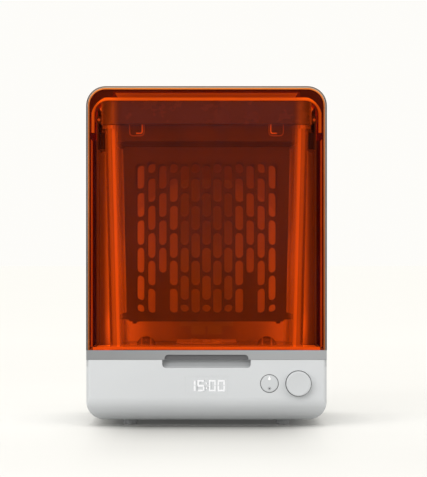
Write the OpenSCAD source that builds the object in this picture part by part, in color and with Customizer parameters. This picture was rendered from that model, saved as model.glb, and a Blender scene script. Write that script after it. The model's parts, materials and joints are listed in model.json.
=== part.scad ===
// Tabletop curing unit for printed dental parts: amber hood, lit chamber, clear wash vessel with
// a hanging carrier, and a light grey base with a timer, a button and a dial.
// Millimetres. The front faces -Y, +X is to the right, +Z is up, and the floor is at z = 0.

/* [Body] */
// Width of the unit
unit_w = 260; // [250:1:290]
// Height from the floor to the top of the hood
unit_h = 368; // [360:1:400]
// Depth from the front face to the back face
body_d = 292; // [286:1:320]
// Height of the joint between base and hood
base_top = 72.2; // [70:0.1:80]
// Wall of the base and rear housing
wall = 3; // [2.5:0.1:3.5]
// Radius of the lower corners of the base, seen from the front
base_corner_r = 21; // [14:0.5:26]
// Radius of the lower front edge of the base
base_front_r = 25; // [14:0.5:28]
// Radius of the upright edges of the base
base_edge_r = 5; // [4:0.5:8]
// Height of the rubber feet
foot_h = 6.5; // [4:0.5:10]
// Diameter of the rubber feet
foot_d = 15; // [12:0.5:20]
// Half distance between the feet, left to right
foot_x = 83.6; // [70:0.1:90]
// Distance of the feet from the front and back faces
foot_inset = 50; // [45:1:60]

/* [Hood] */
// Wall of the amber hood
hood_wall = 3; // [2:0.1:3.2]
// Radius of the upper corners of the hood
hood_r = 20.8; // [16:0.1:26]
// Height of the grey band on the hood's lower edge
band_h = 10.2; // [9:0.1:12]
// Gap between hood and base
hood_gap = 0.3; // [0.3:0.1:0.6]
// Depth of the rear housing behind the chamber
housing_d = 72; // [70:1:84]
// Outer radius of the hood around its hinge
hinge_r = 37; // [34:0.5:37]
// Diameter of the hinge pins
hinge_pin_d = 8; // [6:0.5:10]
// Width of the finger recess under the hood
grip_w = 95.7; // [80:0.1:110]
// Depth of the finger recess
grip_d = 10.5; // [8:0.5:11]
// Width of the light bow inside the hood, front to back
brace_w = 14; // [8:1:20]
// Thickness of the light bow
brace_t = 2.8; // [2:0.1:4]

/* [Controls] */
// Height of the dial and the button centres
control_z = 46.7; // [44:0.1:50]
// Dial centre from the middle
dial_x = 99.4; // [96:0.1:102]
// Dial diameter
dial_d = 26.8; // [22:0.1:30]
// How far the dial stands out
dial_out = 8; // [5:0.5:12]
// Button centre from the middle
button_x = 68; // [64:0.1:70]
// Button diameter
button_d = 18.8; // [15:0.1:22]
// Button travel
button_travel = 1; // [0.6:0.1:1.4]
// Height of the time digits
digit_h = 12.3; // [10:0.1:14]
// Time shown on the display
time_text = [1, 5, 0, 0];

/* [Vessel] */
// Room between the vessel's rim and the hood's sides
vessel_side_room = 15.7; // [14:0.1:22]
// Room between the vessel's rim and the hood's front
vessel_front_room = 18; // [16:1:24]
// Room between the vessel's rim and the chamber's back wall
vessel_back_room = 37; // [36:1:44]
// How far each side of the vessel leans in towards its foot
vessel_taper = 5.7; // [4.9:0.1:9]
// How far the front and back of the vessel lean in towards the foot
vessel_taper_d = 6; // [3:0.5:8]
// Wall of the vessel
vessel_wall = 2.5; // [2:0.1:3.2]
// Distance from the top of the unit to the vessel's rim
vessel_drop = 40.9; // [39:0.1:52]
// Corner radius of the vessel
vessel_r = 18; // [12:1:24]

/* [Carrier] */
// Height of the carrier head
head_h = 25.2; // [20:0.1:28]
// Height of the collar below the head
collar_h = 18; // [14:0.5:24]
// Room between the perforated panels and the front and back of the vessel's rim
panel_room_d = 31; // [25:1:40]
// Room between the perforated panel's top and the side of the vessel's rim
panel_room_top = 19.8; // [18:0.1:23]
// Room between the perforated panel's foot and the side of the vessel's foot
panel_room_foot = 18.1; // [16:0.1:21]
// Thickness of the perforated panels
panel_t = 2.5; // [2:0.1:3]
// Slot columns, an odd number
slot_columns = 13; // [7:2:13]
// Slot rows
slot_rows = 5; // [3:1:5]
// Plain border from the outer slot columns' centres to the panel's side
slot_border = 14.36; // [11:0.01:18]
// Distance between slot rows
slot_step = 30.9; // [29:0.1:31.5]
// Web between slot columns
slot_web = 2.59; // [2.2:0.01:6]
// Slot length
slot_len = 28; // [22:0.1:28.5]

/* [Hidden] */
$fn = 64;

half_w = unit_w / 2;
front_y = dial_out - (body_d + dial_out) / 2;
back_y = front_y + body_d;
chamber_y = back_y - housing_d;
tiny = 0.01;
seat = 0.3;
run = 0.05;

// Hood and hinge
hinge_y = back_y - hinge_r;
hinge_z = unit_h - hinge_r;
ear_recess_r = hinge_r + 0.4;
inner_r = hinge_r - hood_wall;
hood_low = base_top + hood_gap;
band_top = hood_low + band_h;
hood_rear_y = chamber_y - seat;
hood_in_w = half_w - hood_wall;
housing_in_w = hood_in_w - 0.4;
head_corner_r = hood_r - hood_wall;
brace_y = front_y + 79;
brace_top = unit_h - 8.4;
brace_leg = 38.5;

// Chamber
deck_top = base_top + 9.3;
pad_h = 3;
vessel_z = deck_top + pad_h;
vessel_top = unit_h - vessel_drop;
vessel_top_w = 2 * (hood_in_w - vessel_side_room);
vessel_foot_w = vessel_top_w - 2 * vessel_taper;
vessel_top_d = chamber_y - front_y - hood_wall - vessel_front_room - vessel_back_room;
vessel_foot_d = vessel_top_d - 2 * vessel_taper_d;
vessel_y = front_y + hood_wall + vessel_front_room + vessel_top_d / 2;
drive_y = vessel_y;
rim_out = 3.2;
rim_h = 4;

// Carrier
head_z = vessel_top + 0.6;
head_top = head_z + head_h;
head_over = 4;
head_half_w = vessel_top_w / 2 + head_over - 0.5;
head_half_d = vessel_top_d / 2 + head_over;
collar_half_w = vessel_top_w / 2 - vessel_wall - 2;
collar_half_d = vessel_top_d / 2 - vessel_wall - 6.5;
collar_z = head_z - collar_h;
flare_h = 5.5;
panel_top = collar_z - flare_h;
panel_foot = vessel_z + 28.1;
carrier_half_d = vessel_top_d / 2 - panel_room_d;
panel_top_half = vessel_top_w / 2 - panel_room_top;
panel_foot_half = vessel_foot_w / 2 - panel_room_foot;
slot_pitch = 2 * (panel_foot_half - slot_border) / (slot_columns - 1);
slot_w = slot_pitch - slot_web;
tray_half_w = panel_foot_half - 3.5;
rail_tip = vessel_foot_w / 2 - vessel_wall;
panel_front_y = vessel_y - carrier_half_d;
panel_back_y = vessel_y + carrier_half_d - panel_t;
slot_first = panel_top - 31.7;
slot_last = panel_foot + 8.9;

// Clips
clip_x = head_half_w + 3.4;
clip_z = head_z + 6.3;
clip_knuckle_r = 2.6;
clip_pin_r = 1.5;
clip_t = 1.6;
clip_half_l = 46;
clip_low = vessel_top - 26;
clip_top = head_top - 6;

// Light
light_z = 174.5;
light_r = 99.4;
column_half_w = 30.8;
column_d = 18;
column_low = 104;
column_top = 272;
plinth_half_w = 40;
plinth_d = 4;

// Rear
cover_half_w = 112;
cover_low = 95;
cover_top = 300;
fan_z = 190;
fan_size = 60;
fan_t = 15;
rear_pocket_x = -65;
rear_pocket_z = 43;
rear_pocket_w = 74;
rear_pocket_h = 34;
rear_pocket_d = 3;

// Controls
knob_in = 4;
knob_gap = 0.4;
board_y = front_y + 12;
board_t = 1.6;
grip_low = base_top - 8.7;
lip_top = hood_low + 5.3;
motor_top = deck_top - 23.5;
magnet_r = 24;

// Placing of flat outlines: extrude an XZ outline along Y, a YZ outline along X, an XY one along Z
module along_y(from, to) {
    translate([0, to, 0]) rotate([90, 0, 0]) linear_extrude(to - from) children();
}
module along_x(from, to) {
    translate([from, 0, 0]) rotate([90, 0, 90]) linear_extrude(to - from) children();
}
module along_z(from, to) {
    translate([0, 0, from]) linear_extrude(to - from) children();
}
module block(low, high) {
    translate(low) cube(high - low);
}
module both_sides() {
    for (side = [0, 1]) mirror([side, 0, 0]) children();
}
// Rectangle with round corners, centred
module round_rect(w, h, r) {
    square([w - 2 * r, h], center = true);
    square([w, h - 2 * r], center = true);
    for (x = [-1, 1], y = [-1, 1])
        translate([x * (w / 2 - r), y * (h / 2 - r)]) circle(r);
}
// Outline with two round corners at the top
module arch_outline(half, low, high, r) {
    translate([-half, low]) square([2 * half, high - r - low]);
    translate([-half + r, low]) square([2 * (half - r), high - low]);
    for (x = [-1, 1]) translate([x * (half - r), high - r]) circle(r);
}
// Outline with two round corners at the foot
module bowl_outline(half, low, high, r) {
    translate([0, low + high]) mirror([0, 1]) arch_outline(half, low, high, r);
}
// Cylinder along Y
module rod_y(x, z, from, to, r) {
    translate([x, to, z]) rotate([90, 0, 0]) cylinder(h = to - from, r = r);
}
// Cylinder along X
module rod_x(y, z, from, to, r) {
    translate([from, y, z]) rotate([0, 90, 0]) cylinder(h = to - from, r = r);
}
module screw(head_r, head_t, shank_r, shank_l) {
    cylinder(h = shank_l + tiny, r = shank_r);
    translate([0, 0, shank_l]) difference() {
        cylinder(h = head_t, r = head_r);
        translate([0, 0, head_t / 2]) cylinder(h = head_t, r = head_r / 2, $fn = 6);
    }
}

// Base
module base_side_outline(inset) {
    front = front_y + inset;
    back = back_y - inset;
    low = foot_h + inset;
    r1 = base_front_r - inset;
    r2 = base_edge_r + 7 - inset;
    translate([front, low + r1]) square([back - front, base_top + wall - low - r1]);
    translate([front + r1, low]) square([back - front - r1 - r2, r1 + tiny]);
    translate([back - r2 - tiny, low + r2]) square([r2 + tiny, r1 - r2 + tiny]);
    translate([front + r1, low + r1]) circle(r1);
    translate([back - r2, low + r2]) circle(r2);
}
module base_form(inset, top) {
    intersection() {
        along_y(front_y + inset, back_y - inset)
            bowl_outline(half_w - inset, foot_h + inset, top, base_corner_r - inset);
        along_x(-half_w, half_w) base_side_outline(inset);
        along_z(foot_h, top) translate([0, (front_y + back_y) / 2])
            round_rect(unit_w - 2 * inset, body_d - 2 * inset, base_edge_r - inset);
    }
}
plate_w = unit_w - 70;
plate_d = body_d - 122;
rim_front = 15;
rim_side = 10;
foot_stem_r = 2.2;
module foot_places() {
    for (x = [-1, 1], y = [front_y + foot_inset, back_y - foot_inset])
        translate([x * foot_x, y, 0]) children();
}
module service_screw_places(z) {
    for (x = [-1, 1], y = [-1, 1])
        translate([x * (plate_w / 2 - 6), (front_y + back_y) / 2 + y * (plate_d / 2 - 6), z]) children();
}
module base_shell() {
    color("#d2d4d5") difference() {
        union() {
            difference() {
                base_form(0, base_top);
                base_form(wall, base_top + 1);
            }
            // Rim that carries the chamber deck and the rear housing
            difference() {
                block([-half_w + wall / 2, front_y + wall / 2, base_top - wall],
                    [half_w - wall / 2, back_y - wall / 2, base_top]);
                block([-half_w + rim_side, front_y + rim_front, base_top - wall - 1],
                    [half_w - rim_side, back_y - rim_side, base_top + 1]);
            }
            block([-grip_w / 2 - wall, front_y + wall / 2, grip_low - wall],
                [grip_w / 2 + wall, front_y + grip_d + wall, base_top]);
            block([rear_pocket_x - rear_pocket_w / 2 - 3, back_y - rear_pocket_d - wall,
                rear_pocket_z - rear_pocket_h / 2 - 3], [rear_pocket_x + rear_pocket_w / 2 + 3,
                back_y - wall / 2, rear_pocket_z + rear_pocket_h / 2 + 3]);
            // Frame round the service opening
            translate([0, (front_y + back_y) / 2, 0]) along_z(foot_h + wall / 2, foot_h + wall + 2)
                square([plate_w + 6, plate_d + 6], center = true);
        }
        // Finger recess
        intersection() {
            along_y(front_y - 1, front_y + grip_d) translate([0, base_top])
                round_rect(grip_w, 2 * (base_top - grip_low), 4);
            rod_x(front_y, grip_low + grip_d, -half_w, half_w, grip_d);
        }
        // Service opening with a ledge
        translate([0, (front_y + back_y) / 2, 0]) {
            along_z(foot_h - 1, foot_h + wall + 0.1)
                square([plate_w + 2 * seat, plate_d + 2 * seat], center = true);
            along_z(foot_h, foot_h + 20) square([plate_w - 24, plate_d - 24], center = true);
        }
        service_screw_places(foot_h) cylinder(h = 20, r = 1.3);
        foot_places() cylinder(h = foot_h + wall + 1, r = foot_stem_r + 0.1);
        rod_y(dial_x, control_z, front_y - 1, front_y + wall + 1, dial_d / 2 + knob_gap);
        rod_y(button_x, control_z, front_y - 1, front_y + wall + 1, button_d / 2 + knob_gap);
        translate([0, front_y - 1, 0]) along_y(0, wall + 2) translate([0, control_z - 2.4])
            round_rect(window_w, window_h, 2);
        translate([rear_pocket_x, 0, rear_pocket_z]) {
            along_y(back_y - rear_pocket_d, back_y + 1) round_rect(rear_pocket_w, rear_pocket_h, 3);
            along_y(back_y - 20, back_y) translate([inlet_dx, 0]) square([27.4, 20.4], center = true);
            along_y(back_y - 20, back_y) translate([switch_dx, 0]) square([15.4, 22.4], center = true);
        }
    }
}
window_w = 46;
window_h = 20;
inlet_dx = -14;
switch_dx = 22;
module service_plate() {
    color("#4a4b4e") difference() {
        translate([0, (front_y + back_y) / 2, 0]) along_z(foot_h, foot_h + wall)
            round_rect(plate_w, plate_d, 2);
        service_screw_places(foot_h - 1) cylinder(h = wall + 2, r = 1.8);
        service_screw_places(foot_h - 1) cylinder(h = 2.2, r = 3.3);
        for (x = [-60:12:60]) translate([x, 20, 0]) along_z(foot_h - 1, foot_h + wall + 1)
            round_rect(4, 60, 1.9);
    }
}
module rubber_feet() {
    color("#3a3b3d") foot_places() {
        rotate_extrude() {
            square([foot_d / 2 - 1.5, foot_h]);
            translate([0, 1.5]) square([foot_d / 2, foot_h - 1.5]);
            translate([foot_d / 2 - 1.5, 1.5]) circle(1.5, $fn = 32);
        }
        cylinder(h = foot_h + wall - 0.5, r = foot_stem_r);
    }
}
module base_screws() {
    color("silver") service_screw_places(foot_h + wall + 1.5) mirror([0, 0, 1]) screw(3, 1.4, 1.2, 3.3);
}

// Chamber floor
module chamber_deck() {
    deck_w = 2 * (hood_in_w - 2);
    deck_from = front_y + 13;
    color("#d8d8d6") difference() {
        along_z(base_top, deck_top) translate([0, (deck_from + chamber_y) / 2 - seat / 2])
            round_rect(deck_w, chamber_y - deck_from - seat, 6);
        along_z(base_top - 1, deck_top - wall) translate([0, (deck_from + chamber_y) / 2])
            round_rect(deck_w - 2 * wall, chamber_y - deck_from - 2 * wall, 4);
        translate([0, drive_y, deck_top - 1]) difference() {
            cylinder(h = 2, r = 72);
            translate([0, 0, -1]) cylinder(h = 4, r = 70.6);
        }
    }
}
module vessel_pads() {
    color("#8d8f90") for (x = [-1, 1], y = [-1, 1])
        translate([x * (vessel_foot_w / 2 - 21.6), vessel_y + y * (vessel_foot_d / 2 - 21), deck_top])
            cylinder(h = pad_h, r = 7);
}
module coupling_cover() {
    color("#b9bbbc") translate([0, drive_y, deck_top]) difference() {
        cylinder(h = pad_h - 0.6, r = 52);
        translate([0, 0, 1.4]) cylinder(h = pad_h, r = 48);
    }
}

// Power entry
module power_inlet() {
    face = back_y - rear_pocket_d;
    color("#26272a") translate([rear_pocket_x + inlet_dx, 0, rear_pocket_z]) difference() {
        union() {
            along_y(face, face + 2) round_rect(31, 26, 3);
            along_y(face - 22, face + tiny) square([27, 20], center = true);
        }
        along_y(face - 15, face + 3) round_rect(23, 15.6, 2);
    }
}
module inlet_pins() {
    face = back_y - rear_pocket_d;
    color("#c9b46a") translate([rear_pocket_x + inlet_dx, 0, rear_pocket_z])
        for (at = [[-7, -2], [0, 2], [7, -2]])
            along_y(face - 15, face - 1) translate(at) square([2, 4], center = true);
}
rocker_r = 8;
rocker_y = back_y - rear_pocket_d - 6;
module switch_frame() {
    face = back_y - rear_pocket_d;
    color("#26272a") translate([rear_pocket_x + switch_dx, 0, rear_pocket_z]) difference() {
        union() {
            along_y(face, face + 1.6) round_rect(19, 26, 2);
            along_y(face - 20, face + tiny) square([15, 22], center = true);
        }
        along_y(face - 15.5, face + 3) square([11.6, 18.6], center = true);
    }
}
module power_rocker() {
    w = 10.8;
    color("#3b3c40") translate([rear_pocket_x + switch_dx, rocker_y, rear_pocket_z])
        rotate([8, 0, 0]) difference() {
            union() {
                rod_x(0, 0, -w / 2, w / 2, 5);
                block([-w / 2, 0, -8], [w / 2, 6, 8]);
            }
            rod_x(46, 0, -w, w, 41);
        }
}
module power_supply() {
    color("#9a9ca0")
        block([-half_w + 18, back_y - 170, foot_h + wall + 2], [-half_w + 58, back_y - 50, foot_h + 44]);
}
module main_board() {
    color("#2f6b3f") {
        block([half_w - 90, 0, foot_h + 14], [half_w - 18, back_y - 50, foot_h + 14 + board_t]);
        for (x = [half_w - 80, half_w - 26], y = [10, back_y - 80]) translate([x, y, foot_h + wall])
            cylinder(h = 11, r = 3);
        block([half_w - 74, 24, foot_h + 14], [half_w - 54, 44, foot_h + 18]);
        block([half_w - 46, back_y - 90, foot_h + 14], [half_w - 26, back_y - 74, foot_h + 27]);
    }
}

// Controls
module control_board() {
    color("#2f6b3f") difference() {
        block([-30, board_y, 30], [half_w - wall - 9, board_y + board_t, grip_low - wall - 1.5]);
        rod_y(dial_x, control_z, board_y - 1, board_y + 3, 4.5);
    }
}
module display_window() {
    color("#c9cbcc") translate([0, 0, control_z - 2.4]) difference() {
        along_y(front_y, front_y + wall) round_rect(window_w - 2 * run, window_h - 2 * run, 2);
        along_y(front_y - 1, front_y + 1) translate([0, -control_z + 2.4]) digits_outline(run);
    }
    color("#2f3033") block([-20, front_y + wall, control_z - 10], [20, board_y, control_z + 6]);
}
digit_w = 6.6;
segment_t = 1.5;
digit_places = [-14.1, -5.4, 5.6, 14.4];
segments_of = [[1, 1, 1, 1, 1, 1, 0], [0, 1, 1, 0, 0, 0, 0], [1, 1, 0, 1, 1, 0, 1], [1, 1, 1, 1, 0, 0, 1],
    [0, 1, 1, 0, 0, 1, 1], [1, 0, 1, 1, 0, 1, 1]];
module digit_outline(lit, grow) {
    h = digit_h / 2;
    w = digit_w / 2;
    t = segment_t;
    places = [[0, h - t / 2, 1], [w - t / 2, h / 2, 0], [w - t / 2, -h / 2, 0], [0, -h + t / 2, 1],
        [-w + t / 2, -h / 2, 0], [-w + t / 2, h / 2, 0], [0, 0, 1]];
    for (k = [0:6]) if (lit[k] == 1) translate([places[k][0], places[k][1]])
        square(places[k][2] == 1 ? [digit_w - 2 * t - 0.5 + 2 * grow, t + 2 * grow]
            : [t + 2 * grow, h - t / 2 - 0.5 + 2 * grow], center = true);
}
module digits_outline(grow) {
    translate([0, control_z - 2.4]) {
        for (k = [0:3]) translate([digit_places[k] + 1.6, 0]) digit_outline(segments_of[time_text[k]], grow);
        for (z = [-2.4, 2.4]) translate([1.6, z]) square(segment_t + 2 * grow, center = true);
    }
}
module display_segments() {
    color("white") along_y(front_y, front_y + 1) digits_outline(0);
}
module mode_button() {
    color("#d6d8d9") rod_y(button_x, control_z, front_y, front_y + 5, button_d / 2);
}
module mode_switch() {
    color("#303134") {
        block([button_x - 3, front_y + 9, control_z - 3], [button_x + 3, board_y, control_z + 3]);
        rod_y(button_x, control_z, front_y + 5 + button_travel + 0.3, front_y + 9 + tiny, 1.7);
    }
}
module dial_knob() {
    r = dial_d / 2;
    edge = 1.2;
    color("#dcdedf") translate([dial_x, front_y + knob_in, control_z]) rotate([90, 0, 0]) difference() {
        rotate_extrude($fn = 96) {
            square([r - edge, knob_in + dial_out]);
            square([r, knob_in + dial_out - edge]);
            translate([r - edge, knob_in + dial_out - edge]) circle(edge, $fn = 32);
        }
        translate([0, 0, -1]) cylinder(h = knob_in + 4, r = 3);
    }
}
module dial_shaft() {
    color("silver") rod_y(dial_x, control_z, front_y - 1, board_y + 6, 2.9);
}
module encoder_sleeve() {
    color("#b8a24e") difference() {
        rod_y(dial_x, control_z, front_y + 6, board_y + 5, 4.2);
        rod_y(dial_x, control_z, front_y + 5, board_y + 6, 2.9 + run);
    }
}
module encoder_body() {
    color("#3f4a55") difference() {
        block([dial_x - 6, board_y + board_t, control_z - 6], [dial_x + 6, board_y + 9, control_z + 6]);
        rod_y(dial_x, control_z, board_y - 1, board_y + 7.4, 4.2 + run);
    }
}

// Stirring drive
module stir_motor() {
    color("#7d8085") translate([0, drive_y, motor_top - 30]) {
        cylinder(h = 30, r = 18);
        translate([0, 0, 30 - tiny]) cylinder(h = 2.5, r = 6);
    }
}
module motor_bracket() {
    color("#a5a8ac") difference() {
        union() {
            block([-36, drive_y - 36, motor_top], [36, drive_y + 36, motor_top + 2.5]);
            for (x = [-1, 1], y = [-1, 1]) translate([x * 31, drive_y + y * 31, motor_top])
                cylinder(h = deck_top - wall - motor_top, r = 4);
        }
        translate([0, drive_y, motor_top - 1]) cylinder(h = 5, r = 6 + run);
    }
}
module motor_shaft() {
    color("silver") translate([0, drive_y, motor_top + 3]) cylinder(h = 9, r = 2.5);
}
module drive_magnet() {
    color("#6b6e72") translate([0, drive_y, motor_top + 12]) cylinder(h = 7, r = magnet_r);
}
spin_z = vessel_z + vessel_wall;
module impeller() {
    color("#e6e6e2") translate([0, drive_y, spin_z + seat]) difference() {
        union() {
            cylinder(h = 4.4, r = 12);
            cylinder(h = 1.4, r = 34);
            for (k = [0:5]) rotate(k * 60) translate([10, -1, 0]) cube([23, 2, 4.4]);
        }
        translate([0, 0, -1]) cylinder(h = 8, r = 2.5 + run);
        for (x = [-1, 1]) translate([x * 7.5, 0, 1]) cylinder(h = 8, r = 3);
    }
}
module impeller_magnets() {
    color("#6b6e72") for (x = [-1, 1])
        translate([x * 7.5, drive_y, spin_z + seat + 1]) cylinder(h = 3, r = 3);
}

// Rear housing. Its head turns with the hood's inner face around the hinge line.
module head_profile(shrink) {
    r = head_corner_r - 0.4;
    flat = housing_in_w - r;
    core = inner_r - 0.4 - r;
    translate([0, -housing_in_w + shrink]) square([core, 2 * (housing_in_w - shrink)]);
    translate([0, -flat]) square([core + r - shrink, 2 * flat]);
    intersection() {
        for (x = [-1, 1]) translate([core, x * flat]) circle(r - shrink);
        translate([core / 2, -half_w]) square([2 * r + core, 2 * half_w]);
    }
}
module housing_head(shrink) {
    translate([0, hinge_y, hinge_z]) rotate([0, 90, 0]) rotate_extrude($fn = 96) head_profile(shrink);
}
head_flat = housing_in_w - head_corner_r + 0.4;
// Part of a disc round the hinge line, behind it and beside the head's flat middle
module head_end(from, to, r) {
    intersection() {
        rod_x(hinge_y, hinge_z, from, to, r);
        block([0, hinge_y, 0], [unit_w, back_y + 1, unit_h]);
    }
}
module rear_housing() {
    skin_top = hinge_z - 11;
    core_back = hinge_y + inner_r - 1;
    color("#cfd1d2") {
        difference() {
            union() {
                difference() {
                    intersection() {
                        along_z(base_top, skin_top) translate([0, back_y - housing_d])
                            round_rect(unit_w, 2 * housing_d, base_edge_r);
                        block([-unit_w, chamber_y, 0], [unit_w, back_y + 1, unit_h]);
                    }
                    both_sides() rod_x(hinge_y, hinge_z, housing_in_w, half_w + 1, ear_recess_r);
                }
                block([-housing_in_w, chamber_y, base_top + 10], [housing_in_w, core_back, hinge_z]);
                block([-housing_in_w, chamber_y, base_top + 10], [housing_in_w, hinge_y, hinge_z + 8]);
                housing_head(0);
            }
            // Hollow, open at the front and at the foot
            block([-housing_in_w + wall, chamber_y - 1, base_top - 1],
                [housing_in_w - wall, back_y - 4, hinge_z - 20]);
            block([-housing_in_w + wall, chamber_y - 1, hinge_z - 21],
                [housing_in_w - wall, hinge_y, hinge_z + 5]);
            difference() {
                housing_head(wall);
                block([-half_w, hinge_y, 0], [half_w, back_y, hinge_z - 19]);
            }
            // Room for the round corners of the hood as they swing down behind the head
            both_sides() difference() {
                head_end(head_flat, half_w + 1, ear_recess_r);
                housing_head(0);
            }
            // Back opening and the recess for its cover
            along_y(back_y - 5, back_y + 1) translate([0, (cover_low + cover_top) / 2])
                square([2 * cover_half_w - 12, cover_top - cover_low - 12], center = true);
            along_y(back_y - 2, back_y + 1) translate([0, (cover_low + cover_top) / 2])
                round_rect(2 * cover_half_w + 2 * seat, cover_top - cover_low + 2 * seat, 4);
            cover_screw_places(back_y - 5) rotate([-90, 0, 0]) cylinder(h = 6, r = 1.3);
            both_sides() rod_x(hinge_y, hinge_z, housing_in_w - wall - 1, half_w, hinge_pin_d / 2 + run);
        }
        // Liners that close those pockets towards the inside
        both_sides() intersection() {
            difference() {
                head_end(head_flat - wall, housing_in_w - 1, ear_recess_r + wall);
                head_end(head_flat, half_w, ear_recess_r);
                rod_x(hinge_y, hinge_z, 0, head_flat + 1, inner_r - 1.5);
            }
            block([0, hinge_y, 0], [half_w, back_y - 2, hinge_z - 12]);
        }
    }
}
module chamber_back_panel() {
    color("#c4c5c5") difference() {
        intersection() {
            along_y(chamber_y, chamber_y + wall)
                arch_outline(housing_in_w - wall - seat, deck_top, hinge_z + 5 - seat, 14);
            block([-half_w, chamber_y - 1, deck_top], [half_w, chamber_y + wall + 1, unit_h]);
        }
        rod_y(0, light_z, chamber_y - 1, chamber_y + wall + 1, light_r + seat);
    }
}
module light_window() {
    color("#f0f0ec") intersection() {
        rod_y(0, light_z, chamber_y, chamber_y + 2.4, light_r);
        block([-half_w, chamber_y - 1, deck_top], [half_w, chamber_y + wall + 1, unit_h]);
    }
}
module light_board() {
    color("#e8e8e4") difference() {
        rod_y(0, light_z, chamber_y + 12, chamber_y + 13.6, light_r - 4);
        block([-half_w, chamber_y, 0], [half_w, chamber_y + 20, deck_top + 2]);
    }
    color("#e8e8e4") for (a = [45:90:315])
        rod_y(84 * cos(a), light_z + 84 * sin(a), chamber_y + 2.4, chamber_y + 12 + tiny, 3);
}
module led_chips() {
    color("#d9c8f0") for (x = [-50:20:50], z = [-50:20:50])
        block([x - 2.5, chamber_y + 10.4, light_z + z - 2.5], [x + 2.5, chamber_y + 12, light_z + z + 2.5]);
}
module column_cover() {
    color("#bdb9ac") difference() {
        union() {
            along_y(chamber_y - column_d, chamber_y)
                arch_outline(column_half_w, column_low, column_top, 8);
            for (x = [-9.4, 9.4]) block([x - 8.2, chamber_y - 8, column_low - 10],
                    [x + 8.2, chamber_y - plinth_d - seat, column_low + 1]);
        }
        along_y(chamber_y - column_d + 2, chamber_y + 1)
            arch_outline(column_half_w - 2, column_low + 2, column_top - 2, 6);
    }
}
module column_board() {
    color("#e8e8e4") {
        block([-20, chamber_y - 6, column_low + 8], [20, chamber_y - 4.4, column_top - 8]);
        for (z = [column_low + 14, column_top - 14]) rod_y(0, z, chamber_y - 4.4 - tiny, chamber_y, 3);
        for (z = [column_low + 20:16:column_top - 20])
            block([-3, chamber_y - 7.4, z - 3], [3, chamber_y - 6, z + 3]);
    }
}
module plinth_cover() {
    color("#a9a5a0") difference() {
        block([-plinth_half_w, chamber_y - plinth_d, deck_top],
            [plinth_half_w, chamber_y, column_low - seat]);
        block([-plinth_half_w + 2, chamber_y - plinth_d + 2, deck_top - 1],
            [plinth_half_w - 2, chamber_y + 1, column_low - seat - 2]);
    }
}
module cover_screw_places(y) {
    for (x = [-1, 1], z = [cover_low + 10, (cover_low + cover_top) / 2, cover_top - 10])
        translate([x * (cover_half_w - 3), y, z]) children();
}
module back_cover() {
    color("#c6c8c9") difference() {
        along_y(back_y - 2, back_y) translate([0, (cover_low + cover_top) / 2])
            round_rect(2 * cover_half_w, cover_top - cover_low, 4);
        cover_screw_places(back_y - 3) rotate([-90, 0, 0]) cylinder(h = 4, r = 1.8);
        for (z = [-24:6:24]) along_y(back_y - 3, back_y + 1) translate([0, fan_z + z])
            round_rect(2 * sqrt(28 * 28 - z * z), 3.2, 1.5);
        for (x = [-1, 1], z = [110:7:145]) along_y(back_y - 3, back_y + 1) translate([x * 60, z])
            round_rect(50, 3, 1.4);
    }
}
module back_cover_screws() {
    color("silver") cover_screw_places(back_y - 4.5) rotate([-90, 0, 0]) screw(2.8, 1.4, 1.2, 4.5);
}
module fan_frame() {
    color("#232427") translate([0, back_y - 2 - fan_t, fan_z]) difference() {
        along_y(0, fan_t) round_rect(fan_size, fan_size, 4);
        along_y(-1, fan_t - 2) circle(28.5);
        along_y(-1, fan_t + 1) difference() {
            circle(28.5);
            circle(14);
            for (a = [0, 90]) rotate(a) square([60, 3], center = true);
        }
    }
    color("#232427") rod_y(0, fan_z, back_y - 12, back_y - 3.9, 3);
}
module fan_rotor() {
    color("#2d2e31") translate([0, back_y - 2 - fan_t + 1, fan_z]) difference() {
        union() {
            rod_y(0, 0, 0, 11.4, 13);
            for (k = [0:6]) rotate([0, k * 360 / 7, 0]) translate([0, 5.7, 0]) rotate([0, 0, 32])
                translate([-1.1 + 0, -4, 11]) cube([2.2, 8, 16.5]);
        }
        rod_y(0, 0, 2.9, 13, 3 + run);
    }
}
module hinge_pins() {
    color("silver") both_sides()
        rod_x(hinge_y, hinge_z, housing_in_w - wall - 8, half_w - 0.4, hinge_pin_d / 2);
}
module hinge_dampers() {
    color("#50535a") both_sides() difference() {
        rod_x(hinge_y, hinge_z, housing_in_w - wall - 34, housing_in_w - wall, 12);
        rod_x(hinge_y, hinge_z, housing_in_w - wall - 10, half_w, hinge_pin_d / 2 + run);
    }
}
module hood_sensor() {
    color("#303134") block([-8, front_y + rim_front + 0.5, base_top - wall - 5],
        [8, front_y + rim_front + 3, base_top - wall + 1]);
    color("#303134") block([-8, front_y + grip_d + wall, base_top - wall - 5],
        [8, front_y + rim_front + 1, base_top - wall]);
}

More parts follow.
